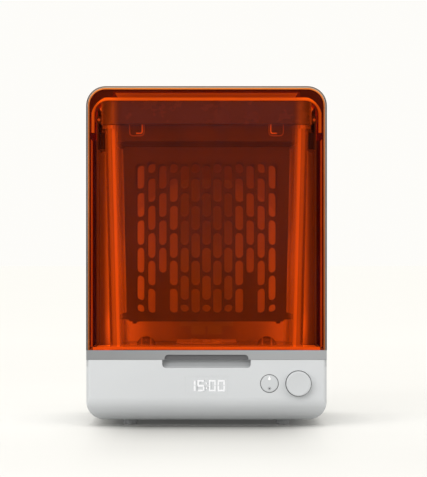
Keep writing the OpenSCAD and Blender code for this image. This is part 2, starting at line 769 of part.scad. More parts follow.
// Hood
module hood_side_outline(inset, low) {
    translate([front_y + inset, low])
        square([hood_rear_y - front_y - inset + 0, unit_h - inset - low]);
    translate([hinge_y, hinge_z]) circle(hinge_r - inset);
    translate([chamber_y - 10, hinge_z]) square([hinge_y - chamber_y + 10, hinge_r - inset]);
}
module hood_shell() {
    color("#e0560a", 0.55) difference() {
        intersection() {
            along_y(front_y, back_y + 1) arch_outline(half_w, band_top, unit_h, hood_r);
            along_x(-half_w, half_w) hood_side_outline(0, band_top);
        }
        along_y(front_y + hood_wall, back_y + 2)
            arch_outline(hood_in_w, band_top - 1, unit_h - hood_wall, hood_r - hood_wall);
        rod_x(hinge_y, hinge_z, -half_w - 1, half_w + 1, hinge_pin_d / 2 + run);
    }
}
module hood_band() {
    color("#9a9b9c") difference() {
        union() {
            difference() {
                block([-half_w, front_y, hood_low], [half_w, hood_rear_y, band_top]);
                block([-hood_in_w, front_y + hood_wall, hood_low - 1],
                    [hood_in_w, hood_rear_y + 1, band_top + 1]);
            }
            block([-grip_w / 2, front_y + 1, hood_low], [grip_w / 2, front_y + 9, band_top]);
        }
        along_y(front_y - 1, front_y + 6) translate([0, hood_low])
            round_rect(grip_w - 5, 2 * (lip_top - hood_low), 4);
        for (x = [-20, 20]) translate([x, front_y + 7.5, hood_low - 1]) cylinder(h = 4, r = 1.2);
    }
}
module hood_grip() {
    color("#5a5b5d") intersection() {
        along_y(front_y + 2.5, front_y + 6) translate([0, hood_low])
            round_rect(grip_w - 5, 2 * (lip_top - hood_low), 4);
        block([-half_w, front_y, hood_low], [half_w, front_y + 9, lip_top + 1]);
    }
}
module hood_brace() {
    color("#f2efe6") along_y(brace_y - brace_w / 2, brace_y + brace_w / 2) difference() {
        arch_outline(hood_in_w, brace_top - brace_leg, brace_top, hood_r - hood_wall);
        arch_outline(hood_in_w - brace_t, brace_top - brace_leg - 1, brace_top - brace_t,
            hood_r - hood_wall - brace_t);
    }
}
module hood_magnet() {
    color("#6b6e72") for (x = [-20, 20]) translate([x, front_y + 7.5, hood_low]) cylinder(h = 3, r = 1.15);
}

// Vessel
module vessel_form(inset, low, high) {
    hull() for (level = [[low, vessel_foot_w, vessel_foot_d], [high, vessel_top_w, vessel_top_d]])
        for (x = [-1, 1], y = [-1, 1])
            translate([x * (level[1] / 2 - vessel_r), vessel_y + y * (level[2] / 2 - vessel_r),
                level[0] == low ? low : high - 1])
                cylinder(h = 1, r = vessel_r - inset, $fn = 32);
}
bump_x = vessel_foot_w / 2 - 38.9;
bump_r = 11;
module wash_vessel() {
    color("#cfe6ee", 0.4) {
        difference() {
            union() {
                vessel_form(0, vessel_z, vessel_top);
                translate([0, vessel_y, 0]) along_z(vessel_top - rim_h, vessel_top)
                    round_rect(vessel_top_w + 2 * rim_out - 1, vessel_top_d + 2 * rim_out - 1,
                        vessel_r + rim_out - 1);
            }
            vessel_form(vessel_wall, vessel_z + vessel_wall, vessel_top + 1);
        }
        translate([0, drive_y, vessel_z + vessel_wall - tiny]) cylinder(h = 6, r = 2.5);
        for (x = [-1, 1]) intersection() {
            translate([x * bump_x, vessel_y - 22, vessel_z + vessel_wall - 2.4]) sphere(bump_r);
            block([-half_w, front_y, vessel_z + vessel_wall - tiny], [half_w, back_y, vessel_top]);
        }
    }
}

// Carrier
module carrier_head() {
    color("#4b4c4f") translate([0, vessel_y, 0]) difference() {
        along_z(head_z, head_top) round_rect(2 * head_half_w, 2 * head_half_d, 20);
        along_z(head_z - 1, head_top - 4) round_rect(2 * head_half_w - 16, 2 * head_half_d - 16, 12);
    }
    color("#4b4c4f") both_sides() for (y = [-1, 1]) difference() {
        translate([0, vessel_y + y * (clip_half_l + 2.6), 0])
            block([head_half_w - 1, -1.8, clip_z - 4], [clip_x + 2.6, 1.8, clip_z + 4]);
        rod_y(clip_x, clip_z, vessel_y - clip_half_l - 6, vessel_y + clip_half_l + 6, clip_pin_r + run);
    }
}
module carrier_collar() {
    color("#4b4c4f") difference() {
        union() {
            translate([0, vessel_y, 0]) along_z(collar_z, head_z)
                round_rect(2 * collar_half_w, 2 * collar_half_d, 14);
            hull() {
                translate([0, vessel_y, collar_z]) linear_extrude(0.5)
                    square([2 * collar_half_w - 6, 2 * collar_half_d - 6], center = true);
                translate([0, vessel_y, panel_top]) linear_extrude(0.5)
                    square([2 * panel_top_half, 2 * carrier_half_d], center = true);
            }
        }
        translate([0, vessel_y, 0]) along_z(panel_top - 1, head_z + 1)
            round_rect(2 * panel_top_half - 16, 2 * carrier_half_d - 16, 6);
    }
}
// Outline of one perforated panel, with staggered slots
module slot(z, len) {
    translate([0, z]) {
        square([slot_w, len - slot_w], center = true);
        for (s = [-1, 1]) translate([0, s * (len - slot_w) / 2]) circle(slot_w / 2, $fn = 32);
    }
}
module panel_outline(latch) {
    middle = (slot_columns - 1) / 2;
    difference() {
        polygon([[-tray_half_w, panel_foot], [tray_half_w, panel_foot], [tray_half_w + 2, panel_foot + 2.2],
            [rail_tip, panel_foot + 2.2], [rail_tip, panel_foot + 4.6], [panel_foot_half, panel_foot + 9],
            [panel_top_half, panel_top], [-panel_top_half, panel_top], [-panel_foot_half, panel_foot + 9],
            [-rail_tip, panel_foot + 4.6], [-rail_tip, panel_foot + 2.2],
            [-tray_half_w - 2, panel_foot + 2.2]]);
        for (c = [-middle:middle]) translate([c * slot_pitch, 0]) {
            low_row = (latch && abs(c) == 4) ? slot_rows - 2 : slot_rows - 1;
            if (c % 2 == 0) {
                for (k = [0:low_row]) slot(slot_first - k * slot_step, slot_len);
                if (!(latch && abs(c) == 4)) translate([0, slot_last + 4.8]) circle(slot_w / 2, $fn = 32);
            } else {
                for (k = [0:slot_rows - 1]) slot(slot_first - 14.4 - k * slot_step, slot_len);
                slot(slot_first + 9.7, 12.8);
            }
        }
    }
}
module carrier_front_panel() {
    color("#4b4c4f") difference() {
        along_y(panel_front_y, panel_front_y + panel_t) panel_outline(true);
        for (x = [-1, 1]) block([x * 4 * slot_pitch - 2.8, panel_front_y - 1, panel_foot + 38],
            [x * 4 * slot_pitch + 2.8, panel_front_y + 1.2, panel_foot + 52]);
    }
}
module carrier_back_panel() {
    color("#4b4c4f") along_y(panel_back_y, panel_back_y + panel_t) panel_outline(false);
}
module carrier_tray() {
    color("#4b4c4f") difference() {
        union() {
            block([-tray_half_w, panel_front_y + panel_t, panel_foot],
                [tray_half_w, panel_back_y, panel_foot + 2.4]);
            both_sides() along_y(panel_front_y + panel_t, panel_back_y)
                polygon([[tray_half_w - 4, panel_foot], [tray_half_w, panel_foot],
                    [tray_half_w + 2, panel_foot + 2.2],
                    [rail_tip, panel_foot + 2.2], [rail_tip, panel_foot + 4.6],
                    [tray_half_w - 4, panel_foot + 4.6]]);
        }
        for (x = [-6:6], y = [-2:2]) translate([x * slot_pitch, vessel_y + y * 17, 0])
            along_z(panel_foot - 1, panel_foot + 3) round_rect(7, 12, 3.4);
    }
}
hook_x = vessel_top_w / 2 - 35.7;
module carrier_hooks() {
    color("#e8e3d8") for (x = [-1, 1]) along_y(vessel_y - collar_half_d - 3, vessel_y - collar_half_d)
        translate([x * hook_x, head_z - 13.4]) difference() {
            bowl_outline(4.8, 0, 13, 4);
            bowl_outline(3, 1.8, 14, 2.4);
        }
}
module tray_feet() {
    color("#1f2022") for (x = [-1, 1], y = [panel_front_y + 8, panel_back_y - 6])
        translate([x * (panel_foot_half - 8.5), y, panel_foot - 2.4]) cylinder(h = 2.4, r = 2.4);
}
module platform_plate() {
    color("silver") translate([0, vessel_y, head_z]) linear_extrude(7)
        round_rect(2 * panel_top_half - 4, 2 * carrier_half_d - 4, 6);
}
module clip() {
    color("#707276") difference() {
        union() {
            rod_y(clip_x, clip_z, vessel_y - clip_half_l, vessel_y + clip_half_l, clip_knuckle_r);
            block([clip_x, vessel_y - clip_half_l, clip_low],
                [clip_x + clip_t, vessel_y + clip_half_l, clip_top]);
            // Jaw under the vessel rim
            block([vessel_top_w / 2 + 1, vessel_y - clip_half_l + 8, clip_low + 1],
                [clip_x + tiny, vessel_y + clip_half_l - 8, vessel_top - rim_h - 2.6]);
        }
        rod_y(clip_x, clip_z, vessel_y - clip_half_l - 1, vessel_y + clip_half_l + 1, clip_pin_r + run);
    }
}
module right_clip() {
    clip();
}
module left_clip() {
    mirror([1, 0, 0]) clip();
}
module clip_pins() {
    color("silver") both_sides()
        rod_y(clip_x, clip_z, vessel_y - clip_half_l - 4.4, vessel_y + clip_half_l + 4.4, clip_pin_r);
}

base_shell();
service_plate();
rubber_feet();
base_screws();
chamber_deck();
vessel_pads();
coupling_cover();
power_inlet();
inlet_pins();
switch_frame();
power_rocker();
power_supply();
main_board();
control_board();
display_window();
display_segments();
mode_button();
mode_switch();
dial_knob();
dial_shaft();
encoder_sleeve();
encoder_body();
stir_motor();
motor_bracket();
motor_shaft();
drive_magnet();
impeller();
impeller_magnets();
rear_housing();
chamber_back_panel();
light_window();
light_board();
led_chips();
column_cover();
column_board();
plinth_cover();
back_cover();
back_cover_screws();
fan_frame();
fan_rotor();
hinge_pins();
hinge_dampers();
hood_sensor();
hood_shell();
hood_band();
hood_grip();
hood_brace();
hood_magnet();
wash_vessel();
carrier_head();
carrier_collar();
carrier_front_panel();
carrier_back_panel();
carrier_tray();
carrier_hooks();
tray_feet();
platform_plate();
left_clip();
right_clip();
clip_pins();
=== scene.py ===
"""Looks of the tabletop curing unit: materials, modelled shells and details, the camera and the studio."""

import json
import math

import bmesh
import bpy
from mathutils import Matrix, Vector


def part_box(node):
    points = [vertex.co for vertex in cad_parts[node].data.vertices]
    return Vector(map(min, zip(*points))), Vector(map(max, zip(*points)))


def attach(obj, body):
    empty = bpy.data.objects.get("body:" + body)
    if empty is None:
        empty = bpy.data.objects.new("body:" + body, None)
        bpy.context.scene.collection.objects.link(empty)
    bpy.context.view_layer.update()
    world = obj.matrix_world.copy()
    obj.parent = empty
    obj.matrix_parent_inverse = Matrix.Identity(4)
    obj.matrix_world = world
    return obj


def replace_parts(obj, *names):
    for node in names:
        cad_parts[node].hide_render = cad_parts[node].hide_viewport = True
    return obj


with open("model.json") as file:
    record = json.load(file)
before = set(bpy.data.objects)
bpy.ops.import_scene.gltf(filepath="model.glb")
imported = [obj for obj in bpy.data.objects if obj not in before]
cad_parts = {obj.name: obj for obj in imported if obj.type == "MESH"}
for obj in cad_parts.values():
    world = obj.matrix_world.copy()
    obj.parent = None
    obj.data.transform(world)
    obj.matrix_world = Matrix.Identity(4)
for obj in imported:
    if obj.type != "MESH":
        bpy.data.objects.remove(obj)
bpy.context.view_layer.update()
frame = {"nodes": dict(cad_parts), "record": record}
NODES = frame["nodes"]
MM = 0.001

# Camera: the photograph's long lens, held level, its vanishing point left of and below the frame's centre
FRAME_W_PX = 427
FRAME_H_PX = 477
VANISH_X_PX = 206.5
VANISH_Y_PX = 255.0
MM_PER_PX = 1.0806
CAMERA_HEIGHT = 0.1856
CAMERA_DISTANCE = 3.2
SENSOR = 36.0
CLIP_END = 50.0


def make_camera(front_y):
    data = bpy.data.cameras.new("camera")
    cam = bpy.data.objects.new("camera", data)
    bpy.context.scene.collection.objects.link(cam)
    cam.location = (0.0, front_y - CAMERA_DISTANCE, CAMERA_HEIGHT)
    cam.rotation_euler = (math.radians(90), 0.0, 0.0)
    data.sensor_fit = "VERTICAL"
    data.sensor_height = SENSOR
    data.sensor_width = SENSOR
    data.lens = SENSOR * CAMERA_DISTANCE / (FRAME_H_PX * MM_PER_PX * MM)
    data.shift_x = (FRAME_W_PX / 2 - VANISH_X_PX) / FRAME_H_PX
    data.shift_y = (VANISH_Y_PX - FRAME_H_PX / 2) / FRAME_H_PX
    data.clip_end = CLIP_END
    bpy.context.scene.camera = cam


# Node trees
NOISE_LOW = 0.3
NOISE_HIGH = 0.7
BLACK = (0.0, 0.0, 0.0)


class Graph:
    """A short way to write a material's node tree."""

    def __init__(self, name):
        self.mat = bpy.data.materials.new(name)
        self.mat.use_nodes = True
        self.nt = self.mat.node_tree
        self.nt.nodes.clear()
        self.out = self.nt.nodes.new("ShaderNodeOutputMaterial")

    def add(self, kind, **inputs):
        """A node with inputs given by name. A blank in the name is written as an underscore."""
        node = self.nt.nodes.new("ShaderNode" + kind)
        for key, value in inputs.items():
            self.put(node, key.replace("_", " "), value)
        return node

    def put(self, node, key, value):
        """Links another node's output to an input, or sets the input to a plain value."""
        socket = node.inputs[key]
        if isinstance(value, bpy.types.NodeSocket):
            self.nt.links.new(value, socket)
        else:
            socket.default_value = value

    def join(self, socket):
        self.nt.links.new(socket, self.out.inputs["Surface"])
        return self.mat

    def place(self):
        return self.add("TexCoord").outputs["Object"]

    def part(self, vector, axis):
        return self.add("SeparateXYZ", Vector=vector).outputs[axis]

    def noise(self, scale, detail=3.0, rough=0.55, stretch=None):
        where = self.place()
        if stretch:
            where = self.add("Mapping", Vector=where, Scale=stretch).outputs["Vector"]
        return self.add("TexNoise", Vector=where, Scale=scale, Detail=detail, Roughness=rough).outputs["Fac"]

    def run(self, value, low, high, first=0.0, last=1.0):
        """Goes from first to last while the value goes from low to high, and is level outside them."""
        ramp = self.add("MapRange", Value=value, From_Min=low, From_Max=high, To_Min=first, To_Max=last)
        return ramp.outputs["Result"]

    def span(self, noise, first, last):
        """Spreads the range that a noise mostly covers from first to last."""
        return self.run(noise, NOISE_LOW, NOISE_HIGH, first, last)

    def along(self, axis, low, high, first=0.0, last=1.0):
        """Goes from first at low to last at high, in metres, along an axis of the part."""
        return self.run(self.part(self.place(), axis), low, high, first, last)

    def sides(self, low, high):
        """Goes from 0 at low to 1 at high, in metres, away from the part's middle to both sides."""
        return self.run(self.maths("ABSOLUTE", self.part(self.place(), "X")), low, high)

    def stops(self, value, places):
        """A grey ramp through (place, level) stops."""
        ramp = self.add("ValToRGB", Fac=value)
        for end, (place, level) in zip((0, -1), (places[0], places[-1])):
            ramp.color_ramp.elements[end].position = place
            ramp.color_ramp.elements[end].color = (level, level, level, 1.0)
        for place, level in places[1:-1]:
            ramp.color_ramp.elements.new(place).color = (level, level, level, 1.0)
        return ramp.outputs["Color"]

    def maths(self, kind, a, b=0.0):
        node = self.add("Math")
        node.operation = kind
        self.put(node, 0, a)
        self.put(node, 1, b)
        return node.outputs[0]

    def plus(self, a, b):
        return self.maths("ADD", a, b)

    def times(self, a, b):
        return self.maths("MULTIPLY", a, b)

    def blend(self, factor, a, b):
        """A colour between a and b, each an output of another node or an (r, g, b) value."""
        node = self.add("Mix")
        node.data_type = "RGBA"
        self.put(node, "Factor", factor)
        for key, value in (("A", a), ("B", b)):
            self.put(node, key, (*value, 1.0) if isinstance(value, tuple) else value)
        return node.outputs["Result"]

    def mix(self, factor, a, b):
        """A surface between the shaders a and b."""
        node = self.add("MixShader")
        for key, value in enumerate((factor, a, b)):
            self.put(node, key, value)
        return node.outputs[0]

    def bump(self, height, strength, distance):
        return self.add("Bump", Height=height, Strength=strength, Distance=distance).outputs["Normal"]


def shade(colour, factor):
    return tuple(min(1.0, c * factor) for c in colour)


# Zones: each goes from 0 to 1 on a piece, where a second colour takes over; most here carry painted light and
# shade. Places are in metres
def toward(axis, low, high):
    """A zone that begins at low and is full at high, along an axis of the part."""
    return lambda g: g.along(axis, low, high)


def outward(low, high):
    """A zone that begins at low and is full at high, away from the part's middle to both sides."""
    return lambda g: g.sides(low, high)


def head_corner_painted_highlight(g):
    """A painted highlight: an upright lighter stripe near each end of the carrier's head."""
    return g.times(g.sides(0.095, 0.103), g.sides(0.112, 0.104))


def base_recess_painted_shade(g):
    """Painted shade: the first 12 mm of the base behind its front face, darker fully on its top and a quarter
    below.
    """
    inside = g.times(g.along("Y", -0.1418, -0.1395), g.along("Y", -0.1300, -0.1305))
    return g.times(inside, g.along("Z", 0.0640, 0.0660, 0.25, 1.0))


def chamber_foot_painted_light(g):
    """Painted light: the two lower corners of the chamber's back wall, made lighter."""
    return g.times(g.sides(0.045, 0.08), g.along("Z", 0.125, 0.108))


# The top of the hood's edge, where its painted edge lines turn lighter: painted light
HOOD_TOP_PAINTED_LIGHT = toward("Z", 0.345, 0.363)


# Materials
def moulded(name, colour, rough, grain=900.0, spread=0.03, worn=0.06, specular=0.5, coat=0.0,
        lit=0.0, zones=()):
    """Moulded plastic: fine texture, slow colour drift and patches that are a little more polished."""
    g = Graph(name)
    drift = g.noise(14.0, 4.0)
    fine = g.noise(grain, 2.0, 0.6)
    patches = g.noise(60.0, 5.0, 0.65)
    tint = g.blend(g.span(drift, 0.0, 1.0), shade(colour, 1 - spread), shade(colour, 1 + spread))
    for where, other in zones:
        tint = g.blend(where(g), tint, other)
    p = g.add("BsdfPrincipled", Base_Color=tint, Specular_IOR_Level=specular, Coat_Weight=coat,
        Coat_Roughness=0.12)
    g.put(p, "Roughness", g.span(patches, max(0.04, rough - worn), rough + worn))
    g.put(p, "Normal", g.bump(fine, 0.35, 0.00004))
    # A glow where lit is given: painted light
    if lit:
        g.put(p, "Emission Color", tint)
        g.put(p, "Emission Strength", lit)
    return g.join(p.outputs["BSDF"])


def metal(name, colour, rough, stretch=(1.0, 1.0, 60.0), spread=0.08):
    """Brushed or turned metal, with the brushing along one axis."""
    g = Graph(name)
    lines = g.noise(220.0, 3.0, 0.6, stretch)
    stain = g.noise(40.0, 4.0)
    tint = g.blend(g.span(stain, 0.0, 1.0), shade(colour, 1 - spread), shade(colour, 1 + spread))
    p = g.add("BsdfPrincipled", Base_Color=tint, Metallic=1.0)
    g.put(p, "Roughness", g.span(lines, rough - 0.07, rough + 0.09))
    g.put(p, "Normal", g.bump(lines, 0.2, 0.00003))
    return g.join(p.outputs["BSDF"])


def rubber(name, colour):
    """Matt rubber with fine pores and some dust."""
    g = Graph(name)
    dust = g.noise(90.0, 6.0, 0.7)
    pores = g.noise(1600.0, 2.0)
    p = g.add("BsdfPrincipled", Base_Color=g.blend(g.span(dust, 0.0, 1.0), colour, shade(colour, 1.6)))
    g.put(p, "Roughness", g.span(dust, 0.62, 0.85))
    g.put(p, "Normal", g.bump(pores, 0.4, 0.00005))
    return g.join(p.outputs["BSDF"])


def circuit_board(name, colour):
    """Solder mask over a pattern of small cells."""
    g = Graph(name)
    cells = g.add("TexVoronoi", Vector=g.place(), Scale=260.0).outputs["Distance"]
    p = g.add("BsdfPrincipled", Base_Color=g.blend(g.span(cells, 0.0, 1.0), colour, shade(colour, 1.7)))
    g.put(p, "Roughness", g.span(g.noise(80.0), 0.3, 0.5))
    g.put(p, "Normal", g.bump(cells, 0.3, 0.0001))
    return g.join(p.outputs["BSDF"])


def glow(name, colour, strength):
    """A lit segment, a touch uneven as a light guide is."""
    g = Graph(name)
    uneven = g.noise(420.0, 2.0)
    tint = g.blend(g.span(uneven, 0.0, 1.0), shade(colour, 0.92), colour)
    return g.join(g.add("Emission", Color=tint, Strength=strength).outputs["Emission"])


def amber_veil_and_painted_sheen(g, slant, wipe):
    """Next to none, with a thin veil before the chamber, densest at the height of the carrier's head: a
    painted sheen.
    """
    milk = g.stops(slant, [(0.0, 0.003), (0.6, 0.008), (1.0, 0.008)])
    milk = g.plus(milk, g.span(wipe, -0.002, 0.002))
    heights = g.stops(g.along("Z", 0.0, 0.4), [
        (0.0, 0.0), (0.36, 0.0), (0.5, 0.45), (0.80, 0.45), (0.82, 1.0), (0.872, 1.0), (0.884, 0.0)])
    return g.plus(milk, g.times(g.times(g.sides(0.108, 0.09), heights), 0.011))


def vessel_milk_and_painted_highlights(g, slant, wipe):
    """Clear on the flat walls and milky edge-on, with milk and painted highlights in the round corners and a
    painted highlight at the very foot.
    """
    turn = g.maths("ABSOLUTE", g.part(g.add("TexCoord").outputs["Normal"], "X"))
    milk = g.stops(turn, [
        (0.0, 0.05), (0.126, 0.25), (0.243, 0.62), (0.475, 0.65), (0.66, 0.5), (0.93, 0.4), (0.99, 0.05),
        (1.0, 0.05)])
    milk = g.times(milk, g.along("Y", -0.05, -0.02, 0.3, 1.0))
    milk = g.plus(milk, g.stops(turn, [
        (0.0, 0.0), (0.34, 0.0), (0.426, 0.5), (0.493, 0.5), (0.558, 0.15), (0.835, 0.15), (0.93, 0.05),
        (0.98, 0.0), (1.0, 0.0)]))
    milk = g.plus(milk, g.stops(slant, [(0.0, 0.0), (0.8, 0.0), (0.95, 0.5), (1.0, 0.6)]))
    milk = g.plus(milk, g.span(wipe, -0.01, 0.01))
    return g.plus(milk, g.along("Z", 0.088, 0.0845, 0.0, 0.7))


def clear_sheet(name, tint, deep, rough, index, film_colour, film_amount, mirror=1.0):
    """Clear moulded sheet, deeper in colour at a slant, with a pale film where the given amount says, which
    holds haze and painted light. It tints only what is seen through it, and not the light of lamps, bounces
    and reflections."""
    g = Graph(name)
    drift = g.noise(9.0, 3.0)
    wipe = g.noise(55.0, 5.0, 0.65, (1.0, 1.0, 0.25))
    slant = g.add("LayerWeight", Blend=0.5).outputs["Facing"]
    straight = g.blend(g.span(drift, 0.0, 1.0), shade(tint, 0.985), tint)
    tinted = g.add("BsdfTransparent", Color=g.blend(g.run(slant, 0.45, 0.97), straight, deep))
    plain = g.add("BsdfTransparent", Color=(0.97, 0.97, 0.97, 1.0))
    path = g.add("LightPath")
    unseen = g.maths("MAXIMUM", path.outputs["Is Shadow Ray"], path.outputs["Is Diffuse Ray"])
    unseen = g.maths("MAXIMUM", unseen, path.outputs["Is Glossy Ray"])
    through = g.mix(unseen, tinted.outputs[0], plain.outputs[0])
    film = g.add("BsdfDiffuse", Color=(*film_colour, 1.0))
    filmed = g.mix(film_amount(g, slant, wipe), through, film.outputs[0])
    shine = g.add("BsdfGlossy", Roughness=g.span(wipe, rough, rough + 0.05))
    rim = g.add("Fresnel", IOR=index)
    return g.join(g.mix(g.times(rim.outputs[0], mirror), filmed, shine.outputs[0]))


GREY = (0.605, 0.62, 0.635)
BAND_GREY = (0.30, 0.307, 0.315)
CARRIER = (0.048, 0.062, 0.078)

MATERIALS = {
    "grey_shell": moulded("grey_shell_satin", GREY, 0.42, spread=0.012),
    # The base: painted shade just behind its front face, under the hood's lip
    "base_grey": moulded("base_satin", GREY, 0.42, spread=0.012, zones=[(base_recess_painted_shade, shade(GREY, 0.68))]),
    "housing_grey": moulded("housing_satin", GREY, 0.42, spread=0.012,
        zones=[(toward("Y", 0.0786, 0.0784), (0.10, 0.10, 0.10))]),
    "knob_grey": moulded("knob_satin", (0.575, 0.59, 0.605), 0.36, grain=1300.0, spread=0.01),
    # The band: painted shade on the left, painted light to the right
    "band_grey": moulded("band_satin", shade(BAND_GREY, 0.78), 0.36, spread=0.02,
        zones=[(toward("X", -0.105, 0.06), shade(BAND_GREY, 1.1))]),
    "dark_plastic": moulded("dark_satin", (0.028, 0.028, 0.030), 0.45, spread=0.1),
    "grip_dark": moulded("grip_dark_satin", (0.10, 0.10, 0.105), 0.5, spread=0.05),
    "clip_dark": moulded("clip_satin", (0.018, 0.018, 0.02), 0.4, spread=0.1),
    "gap_shade_dark": moulded("gap_shade_dark", (0.05, 0.05, 0.052), 0.6, spread=0.1),
    "carrier_grey": moulded("carrier_satin", CARRIER, 0.34, spread=0.08, specular=0.6),
    # The carrier's head: a painted highlight near each end
    "head_grey": moulded("head_satin", CARRIER, 0.27, worn=0.02, specular=0.6, coat=0.15,
        zones=[(head_corner_painted_highlight, (0.20, 0.25, 0.29))]),
    "white_plastic": moulded("white_satin", (0.78, 0.77, 0.72), 0.35, spread=0.02),
    # The hooks glow a little: painted light
    "hook_clear": moulded("hook_satin", (0.55, 0.50, 0.48), 0.3, spread=0.05, lit=0.1),
    "hook_white": moulded("hook_wire_satin", (0.85, 0.80, 0.70), 0.3, lit=0.35),
    "symbol_white": moulded("printed_white", (0.97, 0.97, 0.97), 0.5, spread=0.01),
    "symbol_dark": moulded("printed_dark", (0.07, 0.07, 0.075), 0.5, spread=0.05),
    "deck_plastic": moulded("chamber_satin", (0.86, 0.86, 0.84), 0.3),
    # The chamber's back wall: painted light in its lower corners, painted shade at its outer sides
    "back_wall": moulded("chamber_wall_satin", (0.42, 0.42, 0.41), 0.45, spread=0.05,
        zones=[(chamber_foot_painted_light, (0.66, 0.63, 0.60)), (outward(0.108, 0.118), (0.12, 0.12, 0.12))]),
    # The column cover glows a little: painted light
    "column": moulded("column_satin", (0.66, 0.82, 0.82), 0.4, lit=0.06),
    "plinth": moulded("plinth_satin", (0.60, 0.585, 0.56), 0.4),
    "diffuser": moulded("frosted_diffuser", (0.55, 0.55, 0.53), 0.3, grain=500.0, coat=0.3),
    # The brace glows, painted light, with its legs darker, painted shade
    "light_bow": moulded("light_bow_painted_glow", (0.86, 1.0, 0.84), 0.3, grain=500.0, lit=0.4,
        zones=[(outward(0.116, 0.122), (0.50, 0.56, 0.47))]),
    # The pad under the hood's top glows, painted light, and is darker towards the front, painted shade
    "amber_pad": moulded("amber_pad_painted_glow", (0.75, 0.62, 0.55), 0.4, grain=600.0, lit=0.25,
        zones=[(toward("Y", -0.05, -0.083), (0.16, 0.13, 0.12))]),
    # Painted highlights and painted shade along the hood's edges and foot, lighter over the top
    "edge_light": moulded("edge_light_orange", (0.52, 0.48, 0.58), 0.2, spread=0.1,
        zones=[(HOOD_TOP_PAINTED_LIGHT, (0.95, 0.85, 0.80))]),
    "edge_pale": moulded("edge_pale_line", (0.34, 0.29, 0.28), 0.2, spread=0.1,
        zones=[(HOOD_TOP_PAINTED_LIGHT, (0.52, 0.43, 0.32))]),
    "edge_shade": moulded("edge_shade_grey", (0.012, 0.012, 0.014), 0.4, spread=0.2, specular=0.1,
        zones=[(HOOD_TOP_PAINTED_LIGHT, (0.12, 0.123, 0.125))]),
    "painted_corner_shade": moulded("amber_corner_painted_shade", (0.022, 0.006, 0.004), 0.35, spread=0.1),
    "edge_glow": moulded("edge_glow_orange", (0.32, 0.27, 0.27), 0.3, spread=0.1),
    "foot_light": moulded("edge_foot_light", (0.80, 0.78, 0.85), 0.3, spread=0.1),
    "rubber": rubber("foot_rubber", (0.035, 0.035, 0.037)),
    "foot_grey": rubber("foot_grey_rubber", (0.42, 0.425, 0.43)),
    "steel": metal("fastener_steel", (0.55, 0.55, 0.57), 0.3),
    "metal_case": metal("case_aluminium", (0.62, 0.63, 0.65), 0.38, (60.0, 1.0, 1.0)),
    "magnets": metal("nickel_plate", (0.45, 0.45, 0.46), 0.22),
    "brass": metal("brass_turned", (0.60, 0.42, 0.14), 0.28),
    "light_parts": moulded("solder_mask_white", (0.78, 0.78, 0.78), 0.35, grain=300.0),
    "boards": circuit_board("solder_mask_green", (0.02, 0.13, 0.05)),
    "display_light": glow("display_light", (1.0, 1.0, 1.0), 1.0),
    # The amber's bluish film is a painted sheen before the chamber
    "amber": clear_sheet("amber_acrylic", (1.0, 0.298, 0.05), (0.225, 0.028, 0.0015), 0.03, 1.14,
        (0.35, 0.30, 0.55), amber_veil_and_painted_sheen, mirror=0.15),
    # The vessel's film: milk with painted highlights in its corners and at its foot
    "clear": clear_sheet("clear_vessel", (0.97, 0.97, 0.96), (0.9, 0.9, 0.88), 0.05, 1.25,
        (0.9, 0.9, 0.88), vessel_milk_and_painted_highlights),
}

# Nodes with a material of their own in place of their slot's, and the widths of small bevels in millimetres
OWN = {
    "base_shell": "base_grey", "rear_housing": "housing_grey", "rubber_feet": "foot_grey",
    "chamber_back_panel": "back_wall", "column_cover": "column", "plinth_cover": "plinth",
    "hood_grip": "grip_dark", "hood_brace": "light_bow", "display_segments": "display_light",
    "carrier_head": "head_grey", "left_clip": "clip_dark", "right_clip": "clip_dark",
}
SOFT_EDGES = {
    "base_shell": 0.4, "rear_housing": 0.5, "hood_band": 0.35, "chamber_deck": 0.5, "column_cover": 0.8,
    "carrier_head": 1.2, "left_clip": 0.35, "right_clip": 0.35, "platform_plate": 0.5,
    "power_rocker": 0.4, "switch_frame": 0.3, "power_inlet": 0.4,
}
SHARPEST_KEPT = math.radians(50)


def dress_nodes():
    slots = {s["node"]: s["material_slot"] for s in frame["record"]["subparts"]}
    for name, obj in NODES.items():
        obj.data.materials.clear()
        obj.data.materials.append(MATERIALS[OWN.get(name, slots[name])])
        if name in SOFT_EDGES:
            bevel = obj.modifiers.new("soft_edges", "BEVEL")
            bevel.width = SOFT_EDGES[name] * MM
            bevel.segments = 2
            bevel.limit_method = "ANGLE"
            bevel.angle_limit = SHARPEST_KEPT
            bevel.harden_normals = True


# Shapes in millimetres
def piece(name, bm, material, body, smooth=True):
    """A finished piece, which rides on a body and takes its finish from a slot."""
    bmesh.ops.scale(bm, vec=(MM, MM, MM), verts=bm.verts)
    bmesh.ops.recalc_face_normals(bm, faces=bm.faces)
    mesh = bpy.data.meshes.new(name)
    bm.to_mesh(mesh)
    bm.free()
    mesh.materials.append(MATERIALS[material])
    for polygon in mesh.polygons:
        polygon.use_smooth = smooth
    obj = bpy.data.objects.new(name, mesh)
    bpy.context.scene.collection.objects.link(obj)
    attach(obj, body)
    return obj


def circle(cx, cz, r, count):
    turns = [2 * math.pi * k / count for k in range(count)]
    return [(cx + r * math.cos(a), cz + r * math.sin(a)) for a in turns]


def arc(cx, cz, r, first, last, steps=8):
    turns = [math.radians(first + (last - first) * k / steps) for k in range(steps + 1)]
    return [(cx + r * math.cos(a), cz + r * math.sin(a)) for a in turns]


def mirrored(points):
    """The same points on the other side, in the order that closes a ring."""
    return [(-x, z) for x, z in reversed(points)]


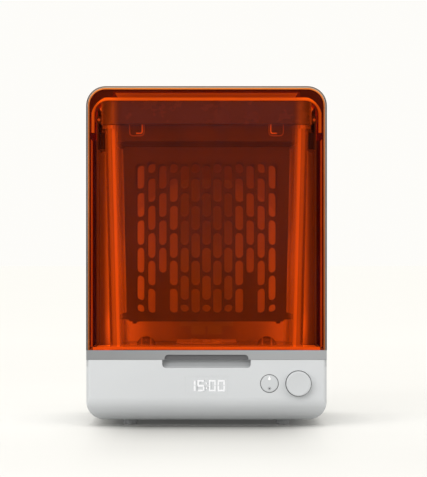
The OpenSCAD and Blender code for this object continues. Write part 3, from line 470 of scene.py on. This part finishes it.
def skin(bm, rings, closed=False):
    """Faces from each ring of points to the next. A ring of one point is a pole."""
    pairs = list(zip(rings, rings[1:]))
    if closed:
        pairs.append((rings[-1], rings[0]))
    for a, b in pairs:
        count = max(len(a), len(b))
        for k in range(count):
            n = (k + 1) % count
            corners = (a[k % len(a)], a[n % len(a)], b[n % len(b)], b[k % len(b)])
            bm.faces.new(list(dict.fromkeys(corners)))


def bar(bm, rings):
    """A solid with rings of points round its length and a flat cap at each end."""
    skin(bm, rings)
    bm.faces.new(rings[0])
    bm.faces.new(list(reversed(rings[-1])))


def lathe(bm, profile, cx, cz, steps=96, closed=False):
    """Turns a profile of (radius, y) pairs round an axis along Y. A radius of 0 is a single point."""
    rings = []
    for radius, y in profile:
        points = circle(cx, cz, radius, steps) if radius else [(cx, cz)]
        rings.append([bm.verts.new((x, y, z)) for x, z in points])
    skin(bm, rings, closed)


def plate(bm, outline, y_front, y_back):
    """A flat shape of (x, z) points with a thickness along Y."""
    front = [bm.verts.new((x, y_front, z)) for x, z in outline]
    back = [bm.verts.new((x, y_back, z)) for x, z in outline]
    bm.faces.new(front)
    bm.faces.new(list(reversed(back)))
    for k in range(len(outline)):
        n = (k + 1) % len(outline)
        bm.faces.new((front[k], back[k], back[n], front[n]))


def arch_path(half, low, high, r, steps=14):
    """The way up the left side, over the top and down the right side, with each point's outward direction."""
    path = [((-half, low), (-1.0, 0.0))]
    for side, first in ((-1, 180), (1, 90)):
        outwards = arc(0.0, 0.0, 1.0, first, first - 90, steps)
        path += [((side * (half - r) + r * nx, high - r + r * nz), (nx, nz)) for nx, nz in outwards]
    path.append(((half, low), (1.0, 0.0)))
    return path


def arch_strip(bm, path, section):
    """Sweeps a closed section of (inward, y) points along an arch."""
    bar(bm, [[bm.verts.new((x - inward * nx, y, z - inward * nz)) for inward, y in section]
        for (x, z), (nx, nz) in path])


def wire(bm, path, y, r, steps=10):
    """A round bar along (x, z) points in a plane across Y."""
    points = [Vector((x, y, z)) for x, z in path]
    rings = []
    for k, point in enumerate(points):
        ahead = (points[min(k + 1, len(points) - 1)] - points[max(k - 1, 0)]).normalized()
        side = ahead.cross(Vector((0.0, 1.0, 0.0))).normalized()
        up = side.cross(ahead)
        rings.append([bm.verts.new(point + u * side + v * up) for u, v in circle(0.0, 0.0, r, steps)])
    bar(bm, rings)


# Controls: each knob is (x, z, radius)
FRONT = -142.0
DIAL = (99.4, 46.7, 13.4)
BUTTON = (68.0, 46.7, 9.4)
DIAL_REACH = 8.0
DIAL_ROUNDING = 1.1
GAP_SHADE_DEPTH = 0.6
PRINT_Y = (FRONT - 0.05, FRONT + 0.1)
DROP_R = 1.45
DROP_UP = 5.0
DROP_TIP_UP = 8.0
SUN_R = 0.85
SUN_DOWN = 5.4
SUN_RAYS = 8
RAY_NEAR = 1.2
RAY_FAR = 1.95
RAY_HALF = 0.16


def gap_painted_shade(name, x, z, inner, outer, proud):
    """A dark ring in the gap round a control: painted shade."""
    y_front, y_back = FRONT - proud, FRONT + GAP_SHADE_DEPTH
    bm = bmesh.new()
    lathe(bm, [(inner, y_front), (outer, y_front), (outer, y_back), (inner, y_back)], x, z, closed=True)
    piece(name, bm, "gap_shade_dark", "housing", smooth=False)


def make_dial():
    x, z, r = DIAL
    top = FRONT - DIAL_REACH
    face = [(0.0, top + 0.35), (4.0, top + 0.33), (8.0, top + 0.24), (r - 2.4, top + 0.08), (r - 1.7, top)]
    rounding = arc(r - DIAL_ROUNDING, top + DIAL_ROUNDING, DIAL_ROUNDING, -90, 0)
    skirt = [(r, FRONT - 2.0), (r, FRONT + 2.4), (r - 0.5, FRONT + 2.6), (0.0, FRONT + 2.6)]
    bm = bmesh.new()
    lathe(bm, face + rounding + skirt, x, z)
    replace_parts(piece("dial_cap", bm, "knob_grey", "dial"), "dial_knob")
    gap_painted_shade("dial_gap_shade", x, z, r + 0.12, r + 0.75, 0.08)


def make_button():
    x, z, r = BUTTON
    face = [(0.0, FRONT + 0.12), (r - 2.5, FRONT + 0.08), (r - 0.5, FRONT + 0.02), (r - 0.15, FRONT + 0.12)]
    skirt = [(r, FRONT + 0.45), (r, FRONT + 4.6), (r - 0.4, FRONT + 5.0), (0.0, FRONT + 5.0)]
    bm = bmesh.new()
    lathe(bm, face + skirt, x, z)
    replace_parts(piece("button_cap", bm, "knob_grey", "button"), "mode_button")
    gap_painted_shade("button_gap_shade", x, z, r + 0.1, r + 0.62, 0.06)
    bm = bmesh.new()
    plate(bm, arc(x, z + DROP_UP, DROP_R, 50, -230, 24) + [(x, z + DROP_TIP_UP)], *PRINT_Y)
    piece("wash_symbol", bm, "symbol_white", "button", smooth=False)
    bm = bmesh.new()
    plate(bm, circle(x, z - SUN_DOWN, SUN_R, 24), *PRINT_Y)
    for c, s in circle(0.0, 0.0, 1.0, SUN_RAYS):
        ray = ((RAY_NEAR, -RAY_HALF), (RAY_FAR, -RAY_HALF), (RAY_FAR, RAY_HALF), (RAY_NEAR, RAY_HALF))
        plate(bm, [(x + u * c - v * s, z - SUN_DOWN + u * s + v * c) for u, v in ray], *PRINT_Y)
    piece("cure_symbol", bm, "symbol_dark", "button", smooth=False)


# Painted light and shade along the hood's moulded edges, and a glowing pad under its top
HOOD_HALF = 130.0
HOOD_TOP = 368.0
HOOD_R = 20.8
EDGE_LOW = 82.9
LINE_Y = (FRONT + 3.3, FRONT + 3.7)
FILLET_Y = (FRONT + 3.3, FRONT + 3.8)
PAD = (201.0, 140.0, 0.24)
PAD_PLACE = (0.0, -13.0, 364.1)


def make_hood_edges():
    path = arch_path(HOOD_HALF, EDGE_LOW, HOOD_TOP, HOOD_R)
    rim = [(0.03, FRONT + 0.05), (1.1, FRONT - 0.05), (1.15, FRONT + 0.4), (0.1, FRONT + 1.1)]
    line = [(1.15, FRONT + 0.1), (1.15, FRONT - 0.05), (1.85, FRONT - 0.05), (1.85, FRONT + 0.1)]
    sections = {"light": circle(2.6, FRONT + 0.9, 0.75, 10), "shade": rim, "pale": line}
    for word, section in sections.items():
        bm = bmesh.new()
        arch_strip(bm, path, section)
        piece("hood_edge_" + word, bm, "edge_" + word, "hood")
    # A dark strip along the top and into the upper corners, between the edge and the brace: painted shade
    outer = [(-126.1, 334.4)] + arc(-109.2, 347.2, 16.9, 180, 90) + [(-101.0, 364.1)]
    inner = [(-101.0, 362.4), (-101.0, 357.3)] + arc(-102.0, 334.4, 22.9, 90, 180)
    bm = bmesh.new()
    plate(bm, outer + mirrored(outer) + mirrored(inner) + inner, *LINE_Y)
    piece("hood_corner_painted_shade", bm, "painted_corner_shade", "hood", smooth=False)
    # A light strip at the hood's foot: painted highlight
    bm = bmesh.new()
    plate(bm, [(-123.0, 83.2), (123.0, 83.2), (123.0, 86.0), (-123.0, 86.0)], *LINE_Y)
    piece("hood_foot_light", bm, "foot_light", "hood", smooth=False)
    # A pad under the top that glows: painted light
    bm = bmesh.new()
    bmesh.ops.create_cube(bm, size=1.0)
    bmesh.ops.scale(bm, vec=PAD, verts=bm.verts)
    bmesh.ops.translate(bm, vec=PAD_PLACE, verts=bm.verts)
    piece("hood_top_pad", bm, "amber_pad", "hood", smooth=False)
    # An orange line down each side: painted highlight
    for side, word in ((-1, "left"), (1, "right")):
        fillet = [(side * x, z) for x, z in ((125.1, 86.0), (123.2, 86.0), (123.2, 309.0), (125.1, 311.0))]
        bm = bmesh.new()
        plate(bm, fillet, *FILLET_Y)
        piece("hood_fillet_" + word, bm, "edge_glow", "hood", smooth=False)


# The time on the display: bars as (left, top, right, bottom) in pixels of the photograph's frame
DIGIT_Y = (FRONT - 0.04, FRONT + 0.3)
DIGIT_TOP = 380.0
DIGIT_FOOT = 391.3
DIGIT_MIDDLE = 385.3
BAR = 1.62
FOOT_BAR = 1.55


def bars_of_time():
    top, foot, middle = DIGIT_TOP, DIGIT_FOOT, DIGIT_MIDDLE
    one = [(193.85, 380.9, 195.5, 385.05), (193.85, 385.45, 195.5, 390.9)]
    five = [(197.3, top, 203.9, top + BAR), (197.3, top + BAR, 197.3 + BAR, 384.8)]
    five += [(197.5, 384.8, 203.9, 386.6), (203.0, 386.6, 204.5, foot - 0.5)]
    five += [(197.7, foot - FOOT_BAR, 203.0, foot)]
    colon = [(205.8, 382.7, 207.35, 384.3), (205.8, 387.4, 207.35, 389.0)]
    bars = one + five + colon
    for x0, x1 in ((208.8, 215.85), (217.7, 224.85)):
        bars += [(x0 + 0.2, top, x1 - 0.2, top + BAR), (x0 + 0.2, foot - FOOT_BAR, x1 - 0.2, foot)]
        for x in (x0, x1 - BAR):
            bars += [(x, top + BAR, x + BAR, middle - 0.2), (x, middle + 0.2, x + BAR, foot - FOOT_BAR)]
    return bars


def make_digits():
    bm = bmesh.new()
    for x0, y0, x1, y1 in bars_of_time():
        plate(bm, [((x - VANISH_X_PX) * MM_PER_PX, CAMERA_HEIGHT / MM + (VANISH_Y_PX - y) * MM_PER_PX)
            for x, y in ((x0, y0), (x1, y0), (x1, y1), (x0, y1))], *DIGIT_Y)
    digits = piece("time_digits", bm, "display_light", "housing", smooth=False)
    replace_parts(digits, "display_segments")


# The carrier's hooks: a thin loop and a bent wire on each side
HOOK_X = 75.9
HOOK_TOP = 328.0
LOOP_HALF = 7.9
LOOP_Y = -113.6
LOOP_R = 0.42
WIRE_Y = -113.0
WIRE_R = 0.72


def make_hooks():
    for word, side in (("left", -1), ("right", 1)):
        cx = side * HOOK_X
        loop = [(-LOOP_HALF, HOOK_TOP)] + arc(-3.9, 319.5, 4.0, 180, 270) + arc(3.9, 319.5, 4.0, 270, 360)
        bm = bmesh.new()
        wire(bm, [(cx + x, z) for x, z in loop + [(LOOP_HALF, HOOK_TOP)]], LOOP_Y, LOOP_R)
        piece("hook_loop_" + word, bm, "hook_clear", "housing")
        bend = [(5.8, HOOK_TOP)] + arc(3.8, 320.3, 2.0, 0, -90) + [(-0.8, 318.3)]
        bm = bmesh.new()
        wire(bm, [(cx - side * x, z) for x, z in bend], WIRE_Y, WIRE_R)
        hook = piece("hook_wire_" + word, bm, "hook_white", "housing")
        if side < 0:
            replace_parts(hook, "carrier_hooks")


# Studio, in metres and watts
BACKDROP = (0.985, 0.975, 0.945)
FLOOR_HALF = 60.0
SUN_STRENGTH = 0.45
SUN_SOFTNESS = math.radians(60.0)
FRONT_BOX = 20.0
SIDE_BOXES = ((-1, 9.0), (1, 6.0))
WALL_LAMP = 0.075
WALL_LAMP_X = 0.1185
DECK_LAMP = 0.12
DECK_LAMP_X = 0.1225
DECK_AIM_X = 0.121


def lamp(name, kind, power, travel):
    """A lamp that shines along travel."""
    data = bpy.data.lights.new(name, kind)
    data.energy = power
    obj = bpy.data.objects.new(name, data)
    obj.rotation_euler = Vector(travel).to_track_quat("-Z", "Y").to_euler()
    bpy.context.scene.collection.objects.link(obj)
    return obj


def area_light(name, place, aim, size, power):
    """A rectangular lamp that the camera doesn't see."""
    obj = lamp(name, "AREA", power, Vector(aim) - Vector(place))
    obj.data.shape = "RECTANGLE"
    obj.data.size, obj.data.size_y = size
    obj.location = place
    obj.visible_camera = False
    return obj


def floor_shade(g):
    """The broad soft shadow on the floor, painted before, behind and beside the unit's footprint."""
    ahead = g.stops(g.along("Y", -0.8, -0.1), [
        (0.02, 0.01), (0.2, 0.04), (0.396, 0.107), (0.524, 0.15), (0.66, 0.23), (0.756, 0.31), (0.856, 0.425),
        (0.907, 0.61), (0.961, 0.825), (0.985, 0.3), (1.0, 0.0)])
    behind = g.stops(g.along("Y", 0.1, 0.8), [
        (0.0, 0.0), (0.015, 0.3), (0.045, 0.82), (0.093, 0.61), (0.144, 0.42), (0.24, 0.31), (0.34, 0.23),
        (0.48, 0.15), (0.6, 0.1), (0.8, 0.04), (0.98, 0.0)])
    across = g.stops(g.sides(0.0, 0.2), [
        (0.3, 1.0), (0.355, 0.97), (0.455, 0.8), (0.495, 0.65), (0.565, 0.38), (0.605, 0.2), (0.64, 0.12),
        (0.715, 0.05), (0.79, 0.02), (0.88, 0.0)])
    beside = g.times(
        g.stops(g.along("Y", -0.2, 0.2), [
            (0.12, 0.0), (0.2, 0.2), (0.35, 0.8), (0.48, 1.0), (0.7, 0.7), (0.88, 0.2), (1.0, 0.0)]),
        g.stops(g.sides(0.0, 0.25), [(0.56, 0.11), (0.604, 0.09), (0.656, 0.07), (0.75, 0.022), (0.88, 0.0)]))
    return g.plus(g.times(g.plus(ahead, behind), across), beside)


def floor_material():
    """A pale floor, graded along its depth, lit a little under the unit and dimmer in bounced light."""
    g = Graph("pale_floor")
    level = g.stops(g.along("Y", -0.8, 3.2), [
        (0.0, 0.728), (0.035, 0.738), (0.07, 0.757), (0.092, 0.772), (0.116, 0.787), (0.15, 0.807),
        (0.17, 0.818), (0.24, 0.84), (0.31, 0.845), (0.46, 0.845), (0.96, 0.885)])
    pale = g.blend(g.span(g.noise(3.0), 0.0, 1.0), (0.995, 0.988, 0.96), (1.0, 0.993, 0.965))
    lit = g.times(level, g.maths("SUBTRACT", 1.0, floor_shade(g)))
    p = g.add("BsdfPrincipled", Base_Color=g.blend(lit, BLACK, pale), Roughness=0.8, Specular_IOR_Level=0.0)
    g.put(p, "Emission Color", pale)
    g.put(p, "Emission Strength", g.times(g.times(g.sides(0.116, 0.106), g.along("Y", -0.125, -0.105)), 0.06))
    dim = g.add("BsdfDiffuse", Color=(0.50, 0.50, 0.49, 1.0))
    bounced = g.add("LightPath").outputs["Is Diffuse Ray"]
    return g.join(g.mix(bounced, p.outputs["BSDF"], dim.outputs[0]))


def make_floor():
    mesh = bpy.data.meshes.new("studio_floor")
    ends = ((-1, -1), (1, -1), (1, 1), (-1, 1))
    mesh.from_pydata([(FLOOR_HALF * x, FLOOR_HALF * y, 0) for x, y in ends], [], [(0, 1, 2, 3)])
    mesh.materials.append(floor_material())
    floor = bpy.data.objects.new("studio_floor", mesh)
    bpy.context.scene.collection.objects.link(floor)


def make_lights():
    """A pale backdrop, a high sun, soft boxes, and lamps hidden in the chamber for its wall and deck."""
    world = bpy.data.worlds.new("studio")
    bpy.context.scene.world = world
    world.use_nodes = True
    back = world.node_tree.nodes["Background"]
    back.inputs["Color"].default_value = (*BACKDROP, 1.0)
    back.inputs["Strength"].default_value = 1.0
    sun = lamp("softbox_high", "SUN", SUN_STRENGTH, (0.12, -0.2, -1.0))
    sun.data.angle = SUN_SOFTNESS
    area_light("softbox_front", (-0.9, -2.6, 1.5), (0.0, 0.0, 0.2), (1.6, 1.2), FRONT_BOX)
    for side, power in SIDE_BOXES:
        area_light("softbox_side", (side * 1.6, -1.9, 0.55), (0.0, -0.1, 0.25), (0.5, 1.5), power)
        wall_place = (side * WALL_LAMP_X, 0.058, 0.2)
        wall = area_light("wall_glow", wall_place, (0.0, 0.066, 0.2), (0.03, 0.22), WALL_LAMP)
        deck_place = (side * DECK_LAMP_X, -0.04, 0.22)
        deck_aim = (side * DECK_AIM_X, -0.04, 0.08)
        deck = area_light("floor_glow", deck_place, deck_aim, (0.006, 0.16), DECK_LAMP)
        for hidden in (wall, deck):
            hidden.visible_glossy = False


make_camera(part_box("hood_shell")[0][1])
dress_nodes()
make_dial()
make_button()
make_hood_edges()
make_digits()
make_hooks()
make_floor()
make_lights()
bpy.context.scene.view_settings.view_transform = "Standard"
